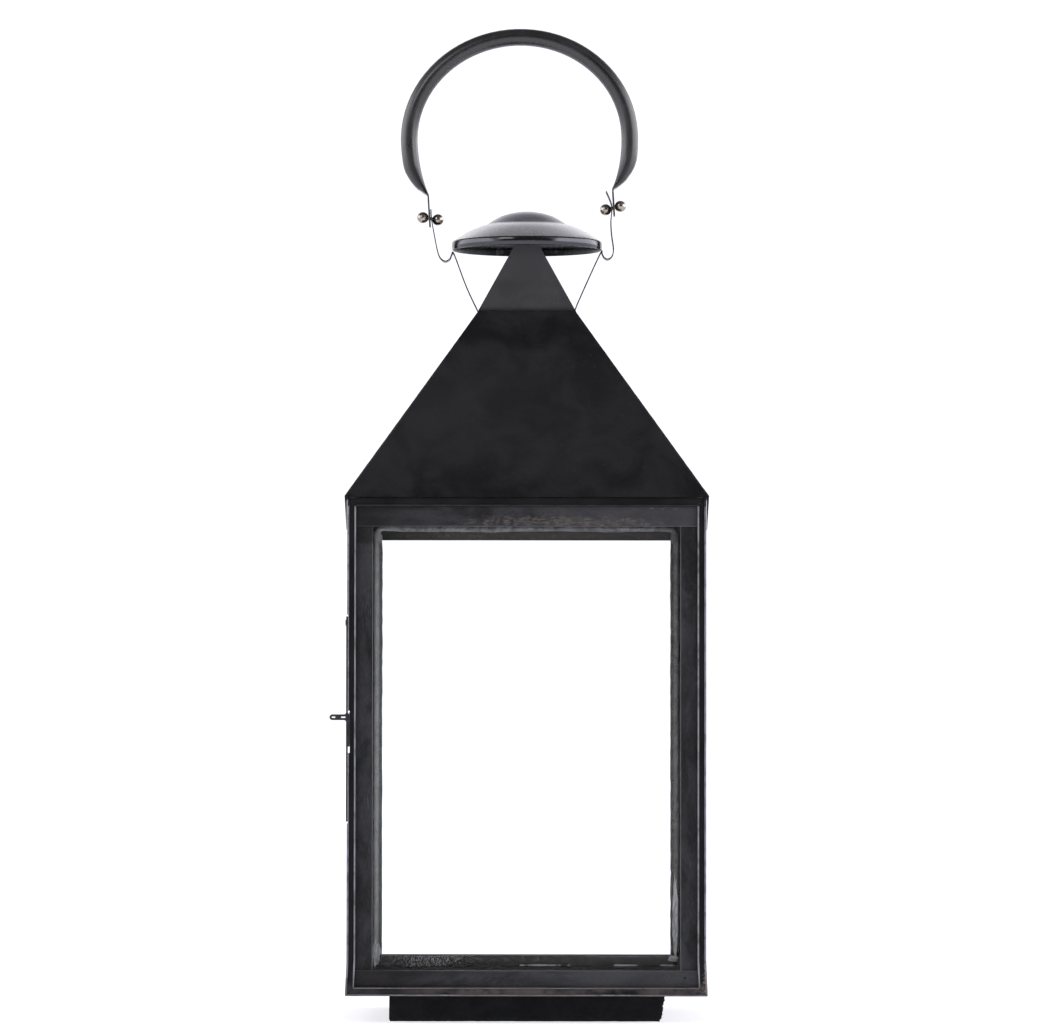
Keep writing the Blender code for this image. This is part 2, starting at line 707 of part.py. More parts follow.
def smooth_path(points, steps):
    """Points along a Catmull-Rom curve through the given (x, z) points."""
    padded = [points[0], *points, points[-1]]
    path = []
    for before, start, end, after in zip(padded, padded[1:], padded[2:], padded[3:]):
        for k in range(steps):
            t = k / steps
            weights = (
                (-t**3 + 2 * t**2 - t) / 2,
                (3 * t**3 - 5 * t**2 + 2) / 2,
                (-3 * t**3 + 4 * t**2 + t) / 2,
                (t**3 - t**2) / 2,
            )
            near = zip(weights, (before, start, end, after))
            sums = [(weight * point[0], weight * point[1]) for weight, point in near]
            path.append((sum(x for x, _ in sums), sum(z for _, z in sums)))
    return [*path, points[-1]]


def strap_mesh(name, path):
    """A thin strap that follows an (x, z) path, edge on, with its width along Y."""
    left = []
    right = []
    for k, (x, z) in enumerate(path):
        ahead = path[min(k + 1, len(path) - 1)]
        behind = path[max(k - 1, 0)]
        run = Vector((ahead[0] - behind[0], ahead[1] - behind[1])).normalized()
        left.append((x - run.y * STRAP / 2, z + run.x * STRAP / 2))
        right.append((x + run.y * STRAP / 2, z - run.x * STRAP / 2))
    bm = bmesh.new()
    rings = []
    for near, far in zip(left, right):
        corners = ((near, -STRAP_HALF), (near, STRAP_HALF), (far, STRAP_HALF), (far, -STRAP_HALF))
        rings.append([bm.verts.new((point[0], y, point[1])) for point, y in corners])
    bridge_rings(bm, rings)
    bm.faces.new(rings[0])
    bm.faces.new(rings[-1])
    return finish_mesh(name, bm)


def pivot_point(side, offset=0.0):
    """A point on the pivot line at the left (-1) or right (1) strap; a positive offset is outwards."""
    along = Vector((math.cos(PIVOT_LEAN), 0, math.sin(PIVOT_LEAN)))
    return PIVOT_CENTRE + along * side * (PIVOT_HALF + offset)


def strap_paths():
    """Each strap: from its foot beside the chimney, under the cap's rim, round a U, up to the pivot."""
    paths = {}
    left_pivot = pivot_point(-1, -0.5 * MM)
    right_pivot = pivot_point(1, -0.5 * MM)
    left = [(-27.9, 400.0), (-34.6, 414.3), (-41.5, 432.6), (-42.9, 432.4), (-44.0, 429.9), (-46.7, 428.6)]
    left += [(-49.6, 430.8), (-51.2, 435.4), (-53.0, 444.5)]
    right = [(27.9, 400.0), (28.6, 403.9), (41.5, 432.5), (42.9, 432.9), (43.9, 431.0), (46.0, 429.9)]
    right += [(48.4, 431.4), (49.4, 435.6), (48.3, 444.0), (47.9, 451.5)]
    paths["left"] = [(x * MM, z * MM) for x, z in left]
    paths["left"] += [(left_pivot.x, left_pivot.z), (left_pivot.x - 0.3 * MM, left_pivot.z + 5.0 * MM)]
    paths["right"] = [(x * MM, z * MM) for x, z in right]
    paths["right"] += [(right_pivot.x, right_pivot.z), (47.4 * MM, 463.6 * MM), (45.2 * MM, 468.7 * MM)]
    return paths


def ball_rivet_mesh():
    """Two balls on a shank, about Z."""
    half = BALL_SPACING / 2
    neck = math.asin(BALL_SHANK / BALL_RADIUS)
    steps = 9
    profile = [(0, half + BALL_RADIUS)]
    for k in range(1, steps + 1):
        angle = (math.pi - neck) * k / steps
        profile.append((BALL_RADIUS * math.sin(angle), half + BALL_RADIUS * math.cos(angle)))
    lower = [(radius, -z) for radius, z in reversed(profile)]
    return turned_mesh("ball_rivet", profile + lower, 20)


def make_straps(looks):
    """The straps that hold the cap and the handle, and the ball rivets that the handle turns on."""
    ball_tilts = {"left": math.radians(98), "right": math.radians(77)}
    for side, name in ((-1, "left"), (1, "right")):
        strap = add_object(
            f"strap_{name}", strap_mesh(f"strap_{name}", smooth_path(strap_paths()[name], 4)), looks["steel"]
        )
        hole = cutter(f"cut_strap_{name}_hole", rod_mesh("strap_hole", PIVOT_HOLE, 4 * MM))
        hole.location = pivot_point(side, -0.5 * MM)
        hole.rotation_euler.y = math.radians(90) - PIVOT_LEAN
        boolean(strap, hole, "DIFFERENCE")
        rivet = add_object(f"pivot_rivet_{name}", ball_rivet_mesh(), looks["nickel"])
        rivet.location = pivot_point(side, 0.1 * MM)
        rivet.rotation_euler.y = ball_tilts[name]


def hoop_join(side):
    """The angle round the hoop's centre at which a lug takes over, flush with the tube's inner side."""
    across = HOOP_RADII[0] - HOOP_TUBE + LUG / 2
    share = (side * (PIVOT_HALF + LUG_OFFSET) - HOOP_CENTRE[0]) / across
    return math.atan2(-math.sqrt(1 - share**2), share)


def hoop_point(angle):
    """A point of the hoop's centre line: below its centre the hoop is straighter."""
    across, up = HOOP_RADII
    down = HOOP_DROPS[-1 if math.cos(angle) < 0 else 1]
    rise = math.sin(angle)
    return Vector((math.cos(angle) * across, rise * (up if rise > 0 else down))) + Vector(HOOP_CENTRE)


def hoop_stations():
    """The handle in its own plane, end to end, as (x, z, half thickness, half width, squareness)."""
    start = hoop_join(1)
    end = hoop_join(-1) + 2 * math.pi
    steps = 400
    walk = [hoop_point(start + (end - start) * k / steps) for k in range(steps + 1)]
    travelled = [0.0]
    for before, point in zip(walk, walk[1:]):
        travelled.append(travelled[-1] + (point - before).length)
    taper_steps = 10
    length = travelled[-1]
    near = [TAPER * k / taper_steps for k in range(taper_steps)]
    middle_steps = 46
    run = length - 2 * TAPER
    places = near + [TAPER + run * k / middle_steps for k in range(middle_steps)]
    places += [length - TAPER] + [length - place for place in reversed(near)]
    stations = []
    for place in places:
        k = min(range(steps + 1), key=lambda index: abs(travelled[index] - place))
        angle = start + (end - start) * k / steps
        share = min(1.0, min(place, length - place) / TAPER)
        swell = math.sin(share * math.pi / 2)
        thick = LUG / 2 + (HOOP_TUBE - LUG / 2) * swell
        width = LUG_HALF + (HOOP_TUBE - LUG_HALF) * swell
        inward = -Vector((math.cos(angle), math.sin(angle)))
        point = walk[k] + inward * (HOOP_TUBE - thick)
        stations.append((point.x, point.y, thick, width, 6 - 4 * swell))
    return lug_stations(1, stations[0][1]) + stations + lug_stations(-1, stations[-1][1])[::-1]


def lug_stations(side, top):
    """A flat lug from its round end up to the hoop."""
    x = side * (PIVOT_HALF + LUG_OFFSET)
    stations = []
    for angle in (86, 70, 50, 30, 10):
        drop = LUG_HALF * math.sin(math.radians(angle))
        stations.append((x, -drop, LUG / 2, LUG_HALF * math.cos(math.radians(angle)), 6))
    for z in (LUG_HALF / 2, top - LUG_HALF / 2):
        stations.append((x, z, LUG / 2, LUG_HALF, 6))
    return stations


def handle_mesh():
    """A tube swept round the hoop, flattened into a lug at each end."""
    stations = hoop_stations()
    sides = 16
    bm = bmesh.new()
    rings = []
    for k, (x, z, thick, width, square) in enumerate(stations):
        ahead = stations[min(k + 1, len(stations) - 1)]
        behind = stations[max(k - 1, 0)]
        run = Vector((ahead[0] - behind[0], 0, ahead[1] - behind[1])).normalized()
        outward = Vector((run.z, 0, -run.x))
        ring = []
        for step in range(sides):
            angle = 2 * math.pi * (step + 0.5) / sides
            flat = math.copysign(abs(math.cos(angle)) ** (2 / square), math.cos(angle))
            wide = math.copysign(abs(math.sin(angle)) ** (2 / square), math.sin(angle))
            place = Vector((x, 0, z)) + outward * (thick * flat) + Vector((0, width * wide, 0))
            ring.append(bm.verts.new(place))
        rings.append(ring)
    bridge_rings(bm, rings)
    bm.faces.new(rings[0])
    bm.faces.new(rings[-1])
    return finish_mesh("handle", bm, 50)


def make_handle(looks, pivot):
    handle = add_object("handle", handle_mesh(), looks["iron"], pivot)
    for side, name in ((-1, "left"), (1, "right")):
        hole = cutter(f"cut_lug_{name}_hole", rod_mesh("lug_hole", PIVOT_HOLE, 6 * MM), pivot)
        hole.location = (side * (PIVOT_HALF + LUG_OFFSET), 0, 0)
        hole.rotation_euler.y = math.radians(90)
        boolean(handle, hole, "DIFFERENCE")


def main():
    for obj in list(bpy.data.objects):
        bpy.data.objects.remove(obj)
    looks = make_materials()
    hinge = axis_empty("door_axis", (HINGE_X, HINGE_Y, (BODY_LOW + BODY_TOP) / 2))
    flex = axis_empty("latch_axis", (-LATCH_OUT + SHEET / 2, LATCH_FRONT, LATCH_PIVOT), hinge)
    pivot = axis_empty("handle_axis", PIVOT_CENTRE, lean=PIVOT_LEAN)
    make_base(looks)
    make_frame(looks)
    make_windows(looks)
    make_door(looks, hinge)
    make_hinges(looks, hinge)
    make_latch(looks, hinge, flex)
    make_roof(looks)
    make_chimney(looks)
    make_cap(looks)
    make_straps(looks)
    make_handle(looks, pivot)


main()
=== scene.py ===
"""Looks, light and camera for the candle lantern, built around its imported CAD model.

Metres, +Z up, in the CAD model's own frame: the front is -Y and the door is the -X face.
"""

import json
import math

import bmesh
import bpy
from mathutils import Matrix, Vector, noise


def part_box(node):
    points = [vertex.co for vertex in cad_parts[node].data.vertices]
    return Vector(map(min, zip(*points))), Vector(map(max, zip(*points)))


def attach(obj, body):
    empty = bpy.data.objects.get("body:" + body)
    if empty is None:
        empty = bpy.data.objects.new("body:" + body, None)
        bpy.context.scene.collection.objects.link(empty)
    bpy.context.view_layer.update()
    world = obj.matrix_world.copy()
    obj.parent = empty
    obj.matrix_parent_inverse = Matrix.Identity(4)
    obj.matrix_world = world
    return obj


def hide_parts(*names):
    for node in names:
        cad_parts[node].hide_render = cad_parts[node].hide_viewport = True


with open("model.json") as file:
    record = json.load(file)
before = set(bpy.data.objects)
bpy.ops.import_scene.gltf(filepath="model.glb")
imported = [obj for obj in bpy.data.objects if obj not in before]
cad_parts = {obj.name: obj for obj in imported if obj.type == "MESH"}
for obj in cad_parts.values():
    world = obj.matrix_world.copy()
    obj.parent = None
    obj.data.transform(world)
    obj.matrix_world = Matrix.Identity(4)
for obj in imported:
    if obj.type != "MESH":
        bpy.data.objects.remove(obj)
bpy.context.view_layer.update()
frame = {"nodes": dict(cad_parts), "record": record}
NODES = frame["nodes"]

MM = 0.001
FACES = {"front": 0, "right": 90, "back": 180, "door": -90}  # turn about +Z from the front


# ---------------------------------------------------------------- places read from the CAD model


def low_of(node):
    """The lowest corner of a CAD node's box."""
    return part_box(node)[0]


def high_of(node):
    """The highest corner of a CAD node's box."""
    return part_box(node)[1]


def opening_of(face):
    """The bottom and top of a face's opening."""
    return high_of(f"{face}_strip_bottom").z, low_of(f"{face}_strip_top").z


def body_of(node):
    """The body that a CAD node belongs to."""
    bodies = frame["record"]["behaviour"]["bodies"]
    return next(body for body, nodes in bodies.items() if node in nodes)


def middle_of(node):
    """The middle of a CAD node's box."""
    low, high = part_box(node)
    return (low + high) / 2


RIDGE_HALF = high_of("post_back_right").x  # over the flared foot
BODY_LOW = low_of("post_front_right").z
BODY_TOP = low_of("roof_front").z
LIP_LOW = low_of("top_rail_front").z
EAVE_HALF = high_of("roof_back").y
OPENING_HALF = low_of("front_strip_right").x
STILE_DEPTH = -middle_of("front_strip_left").y  # from the lantern's axis out to a strip's middle
LEVEL_DEPTH = -middle_of("front_strip_top").y
ROOF_TOP = high_of("roof_front").z
ROOF_TOP_HALF = high_of("chimney").x
CHIMNEY_TOP = high_of("chimney").z
CAP_LOW = low_of("cap").z
CAP_RADIUS = high_of("cap").x
DOME_RADIUS = 23.4 * MM
SHOULDER = 14.3 * MM  # height of the dome's foot over the rim's lower edge
SKIRT_FALL = 9.1 * MM  # from the dome's foot to the rim's upper edge
SKIRT_REACH = CAP_RADIUS - 0.8 * MM - DOME_RADIUS
SKIRT_CURVE = 1.45  # power of the skirt's fall over its reach
RADIANS_PER_METRE = 9000.0  # the cap's turning marks, one every 0.7 mm of its radius
FLARE = 0.8 * MM
FLARE_HEIGHT = 20.0 * MM
BODY_HALF = RIDGE_HALF - FLARE


# ---------------------------------------------------------------- node graphs


class Graph:
    """The node tree of a material or a world, with short calls for the nodes used here."""

    def __init__(self, owner, coordinates):
        owner.use_nodes = True
        self.tree = owner.node_tree
        self.place = self.add("ShaderNodeTexCoord", {}).outputs[coordinates]
        axes = self.add("ShaderNodeSeparateXYZ", {0: self.place})
        self.x, self.y, self.z = axes.outputs

    def add(self, kind, inputs, **settings):
        """A new node; an input that is a socket is linked and any other is set."""
        made = self.tree.nodes.new(kind)
        for key, value in settings.items():
            setattr(made, key, value)
        for key, value in inputs.items():
            if isinstance(value, bpy.types.NodeSocket):
                self.tree.links.new(value, made.inputs[key])
            else:
                made.inputs[key].default_value = value
        return made

    def math(self, operation, *values):
        """One operation on numbers or sockets."""
        return self.add("ShaderNodeMath", dict(enumerate(values)), operation=operation).outputs[0]

    def times(self, *values):
        """The product of all values."""
        product = values[0]
        for value in values[1:]:
            product = self.math("MULTIPLY", product, value)
        return product

    def either(self, *values):
        """The largest of all values."""
        most = values[0]
        for value in values[1:]:
            most = self.math("MAXIMUM", most, value)
        return most

    def absolute(self, value):
        return self.math("ABSOLUTE", value)

    def step(self, value, start, end, low=0.0, high=1.0):
        """A smooth step from low, where value is start, to high, where it is end."""
        inputs = {"Value": value, "From Min": start, "From Max": end, "To Min": low, "To Max": high}
        return self.add("ShaderNodeMapRange", inputs, interpolation_type="SMOOTHSTEP").outputs[0]

    def noise(self, feature, detail=3.0, rough=0.55, stretch=(1, 1, 1), shift=0.0, distortion=0.0):
        """Noise around 0.5 whose features are about this many metres across, times stretch.

        Another shift reads another part of the noise.
        """
        scale = [1 / (feature * along) for along in stretch]
        place = self.add("ShaderNodeMapping", {"Vector": self.place, "Scale": scale,
                                               "Location": (shift, 2 * shift, 3 * shift)}).outputs[0]
        inputs = {"Vector": place, "Scale": 1.0, "Detail": detail, "Roughness": rough,
                  "Distortion": distortion}
        return self.add("ShaderNodeTexNoise", inputs).outputs["Fac"]

    def mix(self, share, low, high):
        """A colour between two colours."""
        inputs = {0: share, 6: rgba(low), 7: rgba(high)}
        made = self.add("ShaderNodeMix", inputs, data_type="RGBA")
        return made.outputs[2]

    def bump(self, height, distance, strength=1.0, before=None):
        """A normal raised by a height, on top of the normal before it."""
        inputs = {"Height": height, "Distance": distance, "Strength": strength}
        if before:
            inputs["Normal"] = before
        return self.add("ShaderNodeBump", inputs).outputs[0]

    def spot(self, centre, reach, ragged=0.5, feature=2.0 * MM):
        """1 near a point and 0 past reach, in metres along each axis, with a ragged edge."""
        away = self.add("ShaderNodeVectorMath", {0: self.place, 1: centre}, operation="SUBTRACT").outputs[0]
        away = self.add("ShaderNodeVectorMath", {0: away, 1: reach}, operation="DIVIDE").outputs[0]
        away = self.add("ShaderNodeVectorMath", {0: away}, operation="LENGTH").outputs["Value"]
        wander = self.step(self.noise(feature, 4.0), 0.2, 0.8, -ragged, ragged)
        return self.step(self.math("ADD", away, wander), 0.55, 1.0, 1.0, 0.0)


def rgba(colour):
    """A socket as it is, and a colour of three values with full opacity."""
    return colour if isinstance(colour, bpy.types.NodeSocket) else (*colour, 1.0)


def grey(level, tint=0.10):
    """A grey; a positive tint is bluer and a negative one browner."""
    return (level * (1 - 0.4 * min(tint, 0.0)), level, level * (1 + tint))


def start_material(name, roughness=0.5, specular=0.5, metallic=0.0):
    """A new material with even values, and the graph that its finish is drawn in."""
    made = bpy.data.materials.new(name)
    graph = Graph(made, "Object")
    graph.shader = graph.tree.nodes["Principled BSDF"]
    graph.material = made
    finish_with(graph, Roughness=roughness, Metallic=metallic, Specular_IOR_Level=specular)
    return graph


def finish_with(graph, **inputs):
    """Sets or links the shader's inputs; an underscore stands for a space."""
    for key, value in inputs.items():
        socket = graph.shader.inputs[key.replace("_", " ")]
        if isinstance(value, bpy.types.NodeSocket):
            graph.tree.links.new(value, socket)
        else:
            socket.default_value = value


# ---------------------------------------------------------------- metal finishes


def patina(graph, dark, light, cloud, grain=0.9 * MM, stretch=(1, 1, 1), shift=0.0):
    """Blackened iron: clouds of two tones with a fine mottle over them."""
    clouds = graph.step(graph.noise(cloud, 5.0, 0.6, stretch, shift, 0.6), 0.34, 0.68)
    mottle = graph.step(graph.noise(grain, 3.0, 0.7, stretch, shift + 5.0), 0.3, 0.7)
    share = graph.math("ADD", graph.times(clouds, 0.72), graph.times(mottle, 0.28))
    return graph.mix(share, dark, light), clouds, mottle


def scratches(graph, direction, width=0.12 * MM, length=9.0 * MM, share=0.26, shift=0.0):
    """Thin scratches along one axis, here and there."""
    stretch = [length / width if axis == direction else 1.0 for axis in range(3)]
    lines = graph.step(graph.noise(width, 1.0, 0.4, stretch, shift), 0.70, 0.76)
    patches = graph.step(graph.noise(18.0 * MM, 2.0, 0.5, shift=shift + 3.0), 0.62 - share / 2, 0.70)
    return graph.times(lines, patches)


def folded_iron():
    """The body's posts and rails: black in the valley, grey along the ridges as rubbed wear and as a painted
    highlight.
    """
    graph = start_material("folded_iron", specular=0.12)
    base, clouds, mottle = patina(graph, grey(0.004), grey(0.011), 22 * MM)
    outward = graph.either(graph.absolute(graph.x), graph.absolute(graph.y))
    spread = graph.step(graph.z, BODY_LOW, BODY_LOW + FLARE_HEIGHT, FLARE, 0.0)
    depth = graph.math("SUBTRACT", graph.math("ADD", spread, BODY_HALF), outward)
    # The ridges are painted grey: rubbed wear, and a painted highlight as well.
    ridge_wear_and_highlight = graph.step(depth, 0.02 * MM, 0.20 * MM, 1.0, 0.0)
    rubbed = graph.step(graph.noise(7 * MM, 5.0, 0.65), 0.28, 0.60, 0.35, 1.0)
    below_lip = graph.step(graph.z, LIP_LOW - 0.4 * MM, LIP_LOW + 0.4 * MM, 1.0, 0.08)
    ridge_wear_and_highlight = graph.times(ridge_wear_and_highlight, rubbed, below_lip)
    base = graph.mix(graph.times(ridge_wear_and_highlight, 0.9), base, grey(0.27))
    low = graph.step(graph.z, BODY_LOW + 4.0 * MM, BODY_LOW + 8 * MM, 1.0, 0.0)
    worn = graph.times(low, graph.step(graph.noise(26 * MM, 5.0, 0.62, shift=2.0), 0.36, 0.56),
                       graph.step(graph.x, -75 * MM, -35 * MM, 0.4, 1.0))
    base = graph.mix(graph.times(worn, 0.7), base, (0.100, 0.087, 0.079))
    corner = (RIDGE_HALF, -RIDGE_HALF, BODY_LOW + 13 * MM)
    chafed = graph.spot(corner, (2.5 * MM, 2.5 * MM, 20 * MM), 0.7, 1.2 * MM)
    base = graph.mix(graph.times(chafed, 0.6), base, (0.26, 0.225, 0.20))
    finish_with(
        graph,
        Base_Color=base,
        Roughness=graph.math("ADD", graph.times(clouds, 0.14), 0.40),
        Metallic=graph.times(ridge_wear_and_highlight, 0.5),
        Normal=graph.bump(mottle, 0.03 * MM, 0.6),
    )
    return graph.material


def strip_iron(name, dark, light, direction, shift, depth, edge, marks):
    """The flat strips of a window: cloudy outside with a painted highlight along the inner edge, and
    brown-black inside.
    """
    graph = start_material(name, specular=0.15)
    stretch = [2.6 if axis == direction else 1.0 for axis in range(3)]
    base, clouds, mottle = patina(graph, dark, light, 13 * MM, stretch=stretch, shift=shift)
    brown = graph.times(
        graph.step(graph.noise(34 * MM, 4.0, 0.6, shift=shift + 1.0), 0.52, 0.68),
        graph.step(graph.noise(1.6 * MM, 4.0, 0.7, shift=shift + 2.0), 0.42, 0.62),
    )
    base = graph.mix(graph.times(brown, 0.45), base, (0.064, 0.051, 0.043))
    base = graph.mix(graph.times(scratches(graph, direction, shift=shift), 0.7), base, grey(0.16))
    # A painted highlight along the inner edge.
    base = graph.mix(graph.times(edge(graph), 0.9), base, grey(0.20))
    outward = graph.either(graph.absolute(graph.x), graph.absolute(graph.y))
    inner = graph.step(outward, depth - 0.1 * MM, depth + 0.1 * MM, 1.0, 0.0)
    rust = graph.step(graph.noise(2.4 * MM, 5.0, 0.7, shift=shift + 6.0), 0.50, 0.70, 0.0, 1.0)
    base = graph.mix(inner, base, graph.mix(rust, (0.096, 0.084, 0.077), (0.200, 0.160, 0.132)))
    base = marks(graph, base)
    finish_with(
        graph,
        Base_Color=base,
        Roughness=graph.math("ADD", graph.times(clouds, 0.16), 0.42),
        Normal=graph.bump(mottle, 0.03 * MM, 0.5),
    )
    return graph.material


def darkened_top(graph, base):
    """Darker on the upper ends of the upright strips, less so towards +X."""
    stain = graph.step(graph.math("ADD", graph.z, graph.times(graph.noise(8 * MM), 8 * MM)),
                       BODY_TOP - 23 * MM, BODY_TOP - 20 * MM, 0.0, 0.6)
    fading = graph.step(graph.x, 0.0, 60 * MM, 1.0, 0.4)
    return graph.mix(graph.times(stain, fading), base, grey(0.007))


def shaded_ends(graph, base, along):
    """A level strip is darker at its left end and lighter towards its right end."""
    base = graph.mix(graph.step(along, -88 * MM, -35 * MM, 0.65, 0.0), base, grey(0.007))
    return graph.mix(graph.step(along, -30 * MM, 70 * MM, 0.0, 0.40), base, grey(0.060))


def front_marks(graph, base):
    """The front's level strips: rubbed brown at the top, chips on its edge and a dark spot painted as the
    shade of a dent below.
    """
    base = shaded_ends(graph, base, graph.x)
    middle = (20 * MM, -RIDGE_HALF, BODY_TOP - 13.5 * MM)
    rubbed = graph.spot(middle, (62 * MM, 9 * MM, 3.8 * MM), 0.45, 4 * MM)
    speckle = graph.step(graph.noise(1.0 * MM, 5.0, 0.8, (5, 1, 1)), 0.42, 0.62)
    base = graph.mix(graph.times(rubbed, speckle, 0.8), base, (0.125, 0.104, 0.091))
    edge = (72 * MM, -RIDGE_HALF, BODY_TOP - 6.4 * MM)
    chips = graph.spot(edge, (20 * MM, 6 * MM, 1.0 * MM), 0.5, 4 * MM)
    flakes = graph.step(graph.noise(1.1 * MM, 2.0, 0.6, (3.5, 1, 1), 4.0), 0.56, 0.60)
    base = graph.mix(graph.times(chips, flakes, 0.8), base, grey(0.26))
    # A small dark spot: painted shade of a dent.
    foot = (87.5 * MM, -RIDGE_HALF, BODY_LOW + 9.6 * MM)
    dent_shade = graph.spot(foot, (1.1 * MM, 6 * MM, 1.1 * MM), 0.2)
    return graph.mix(graph.times(dent_shade, 0.8), base, grey(0.006))


def back_marks(graph, base):
    """The back's level strips run along X."""
    return shaded_ends(graph, base, graph.x)


def side_marks(graph, base):
    """The side windows' level strips run along Y."""
    return shaded_ends(graph, base, graph.y)


def upright_edge_highlight(graph):
    """1 on the inner edges of the upright strips, where a highlight is painted."""
    across = graph.math("MINIMUM", graph.absolute(graph.x), graph.absolute(graph.y))
    return graph.step(across, OPENING_HALF + 0.12 * MM, OPENING_HALF + 0.26 * MM, 1.0, 0.0)


def level_edge_highlight(low, top):
    """1 on the inner edges of the level strips round an opening, where a highlight is painted."""
    def edge(graph):
        away = graph.absolute(graph.math("SUBTRACT", graph.z, (low + top) / 2))
        half = (top - low) / 2
        return graph.step(away, half + 0.12 * MM, half + 0.26 * MM, 0.9, 0.0)
    return edge


def roof_iron():
    """The roof's four slopes: deep black, slightly mottled, a little greyer halfway up."""
    graph = start_material("roof_iron", specular=0.20)
    base, clouds, mottle = patina(graph, grey(0.0045), grey(0.0165), 26 * MM, 1.4 * MM)
    middle = graph.times(
        graph.step(graph.z, BODY_TOP + 3 * MM, BODY_TOP + 30 * MM),
        graph.step(graph.z, ROOF_TOP - 45 * MM, ROOF_TOP - 8 * MM, 1.0, 0.0),
        graph.step(graph.x, -40 * MM, 30 * MM, 1.0, 0.6),
    )
    base = graph.mix(graph.times(middle, 0.55), base, grey(0.021))
    flecks = graph.step(graph.noise(2.2 * MM, 2.0, 0.5, shift=7.0), 0.69, 0.76)
    base = graph.mix(graph.times(flecks, 0.3), base, grey(0.045))
    waves = graph.noise(38 * MM, 2.0, 0.4, shift=1.5)
    rough = graph.math("ADD", graph.times(clouds, 0.16), 0.40)
    rippled = graph.bump(waves, 2.2 * MM, 0.35)
    finish_with(graph, Base_Color=base, Roughness=rough,
                Normal=graph.bump(mottle, 0.03 * MM, 0.5, rippled))
    return graph.material


def chimney_iron():
    """The chimney: greyer than the roof and painted lighter towards its top, against the cap's shadow, with
    a few light scratches down its right side.
    """
    graph = start_material("chimney_iron", specular=0.25)
    base, clouds, mottle = patina(graph, grey(0.036, 0.04), grey(0.052, 0.04), 16 * MM, 1.1 * MM)
    # Painted light: lighter towards the top, where the cap's shadow falls.
    top = graph.step(graph.z, CHIMNEY_TOP - 26 * MM, CHIMNEY_TOP - 6 * MM, 0.0, 0.9)
    base = graph.mix(top, base, grey(0.105, 0.04))
    foot = graph.step(graph.z, ROOF_TOP + 0.5 * MM, ROOF_TOP + 3.0 * MM, 1.0, 0.0)
    base = graph.mix(graph.times(foot, 0.8), base, grey(0.012))
    marks = scratches(graph, 2, 0.20 * MM, 7 * MM, 0.6, 4.0)
    right = graph.step(graph.x, -2 * MM, 10 * MM, 0.15, 1.0)
    base = graph.mix(graph.times(marks, right, 0.8), base, grey(0.22))
    finish_with(graph, Base_Color=base, Roughness=graph.math("ADD", graph.times(clouds, 0.1), 0.50),
                Normal=graph.bump(mottle, 0.03 * MM, 0.5))
    return graph.material


def floor_iron():
    """The floor plate inside: rubbed grey, with soot round its middle."""
    graph = start_material("floor_iron", specular=0.2)
    base, clouds, mottle = patina(graph, grey(0.014), grey(0.034), 30 * MM, 1.2 * MM)
    soot = graph.spot((0, 0, BODY_LOW), (80 * MM, 80 * MM, 20 * MM), 0.5, 25 * MM)
    base = graph.mix(graph.times(soot, 0.6), base, grey(0.008))
    marks = scratches(graph, 0, 0.25 * MM, 14 * MM, 0.4, 11.0)
    base = graph.mix(graph.times(marks, 0.5), base, grey(0.10))
    finish_with(graph, Base_Color=base, Roughness=graph.math("ADD", graph.times(clouds, 0.2), 0.48),
                Normal=graph.bump(mottle, 0.01 * MM, 0.3))
    return graph.material


def cap_iron():
    """The spun cap: pale and satin on its skirt, darker on the dome, black round the rim and below, with
    glints painted below as pale spots.
    """
    graph = start_material("cap_iron", specular=0.5)
    base, clouds, mottle = patina(graph, grey(0.30), grey(0.42), 15 * MM, 0.8 * MM)
    squares = graph.math("ADD", graph.times(graph.x, graph.x), graph.times(graph.y, graph.y))
    radius = graph.math("POWER", squares, 0.5)
    height = graph.math("SUBTRACT", graph.z, CAP_LOW)
    skirt = graph.step(radius, DOME_RADIUS - 1.2 * MM, DOME_RADIUS, 0.0, 1.0)
    base = graph.mix(graph.times(skirt, 0.9), base, grey(0.95, 0.02))
    rim = graph.step(radius, CAP_RADIUS - 0.9 * MM, CAP_RADIUS - 0.5 * MM, 0.0, 1.0)
    base = graph.mix(rim, base, grey(0.060))
    share = graph.math("DIVIDE", graph.math("SUBTRACT", radius, DOME_RADIUS), SKIRT_REACH)
    fall = graph.math("POWER", graph.either(share, 0.0), SKIRT_CURVE)
    shell = graph.math("SUBTRACT", SHOULDER - 0.6 * MM, graph.times(fall, SKIRT_FALL))
    below = graph.step(graph.math("SUBTRACT", height, shell), -0.1 * MM, 0.1 * MM, 1.0, 0.0)
    below = graph.times(below, graph.math("SUBTRACT", 1.0, rim))
    # Pale spots painted on the underside as glints.
    underside_glints = graph.step(graph.noise(4 * MM, 3.0, 0.6, shift=2.0), 0.60, 0.64)
    base = graph.mix(below, base, graph.mix(graph.times(underside_glints, 0.5), grey(0.010), grey(0.12)))
    turning_marks = graph.math("SINE", graph.times(radius, RADIANS_PER_METRE))
    smooth = graph.math("SUBTRACT", 0.24, graph.times(rim, 0.15))
    finish_with(
        graph,
        Base_Color=base,
        Roughness=graph.math("ADD", graph.times(clouds, 0.08), smooth),
        Metallic=graph.math("SUBTRACT", 0.92, graph.times(below, 0.5)),
        Normal=graph.bump(turning_marks, 0.006 * MM, 0.4, graph.bump(mottle, 0.02 * MM, 0.4)),
    )
    return graph.material


def handle_iron():
    """The hoop: satin black tube whose sides catch the light."""
    graph = start_material("handle_iron", specular=0.68)
    base, clouds, mottle = patina(graph, grey(0.007), grey(0.018), 18 * MM, 0.8 * MM)
    marks = scratches(graph, 0, 0.14 * MM, 5 * MM, 0.3, 8.0)
    base = graph.mix(graph.times(marks, 0.3), base, grey(0.10))
    finish_with(graph, Base_Color=base, Roughness=graph.math("ADD", graph.times(clouds, 0.08), 0.26),
                Normal=graph.bump(mottle, 0.03 * MM, 0.5))
    return graph.material


